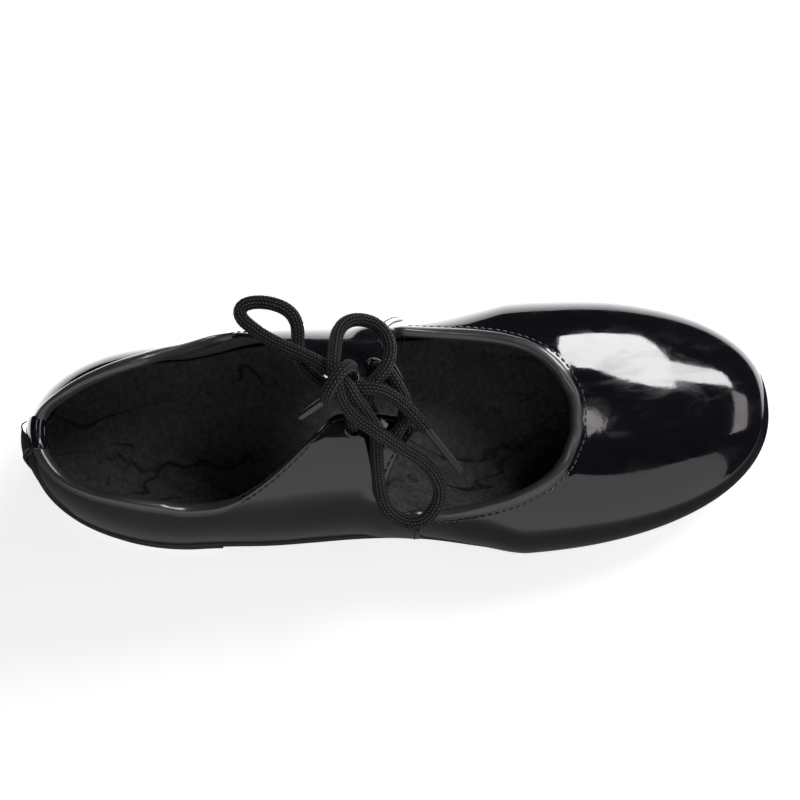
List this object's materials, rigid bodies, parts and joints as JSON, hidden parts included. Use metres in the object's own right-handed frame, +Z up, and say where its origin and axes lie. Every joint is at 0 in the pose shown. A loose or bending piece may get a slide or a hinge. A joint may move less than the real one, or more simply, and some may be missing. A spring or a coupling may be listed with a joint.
{
  "type": "tap shoe",
  "caption": "Low-cut lace-up tap shoe for the left foot in black patent, with two tabs tied by a round lace, a stacked heel, and metal taps screwed under the heel and toe.",
  "frame": {"origin": "on the ground under the middle of the shoe's box, the lace left out", "axes": "+X along the shoe to the toe, +Y to the outer side of the foot, +Z up"},
  "size_m": [0.2479, 0.085, 0.0969],
  "materials": {
    "patent": "mirror gloss patent coating",
    "edge_binding": "glossy folded tape",
    "lining": "brushed textile",
    "sock": "brushed, slightly fuzzy",
    "stiffener": "resin stiffened fleece",
    "eyelet": "gloss black enamel",
    "lace": "tight round braid",
    "aglet": "clear film over black",
    "board": "pressed fibre",
    "filler": "felted",
    "steel": "zinc plated",
    "outsole": "smooth, dull black",
    "heel": "satin black",
    "top_lift": "fine matt",
    "tap_metal": "cast, brushed on the floor side",
    "fibre": "hard vulcanised fibre"
  },
  "bodies": {
    "forefoot": {"vamp": "patent", "vamp_lining": "lining", "throat_binding": "edge_binding", "toe_puff": "stiffener", "sock": "sock", "insole_board": "board", "bottom_filler": "filler", "outsole": "outsole", "toe_sound_board": "fibre", "toe_tap": "tap_metal", "toe_tap_screws": "steel"},
    "rearfoot": {"medial_quarter": "patent", "lateral_quarter": "patent", "back_strip": "patent", "medial_quarter_lining": "lining", "lateral_quarter_lining": "lining", "collar_binding": "edge_binding", "heel_counter": "stiffener", "eyelets": "eyelet", "lace": "lace", "lace_aglets": "aglet", "shank": "steel", "heel_block": "heel", "top_lift": "top_lift", "heel_nails": "steel", "heel_tap": "tap_metal", "heel_tap_screws": "steel"}
  },
  "joints": [
    {"name": "ball_flex", "type": "hinge", "parent": "forefoot", "child": "rearfoot", "pos_m": [0.044, 0, 0.0065], "axis": [0, 1, 0], "range_deg": [0, 40], "stiffness_Nm_per_rad": 3, "deforming": ["vamp", "vamp_lining", "throat_binding", "sock", "insole_board", "bottom_filler", "outsole"]}
  ]
}
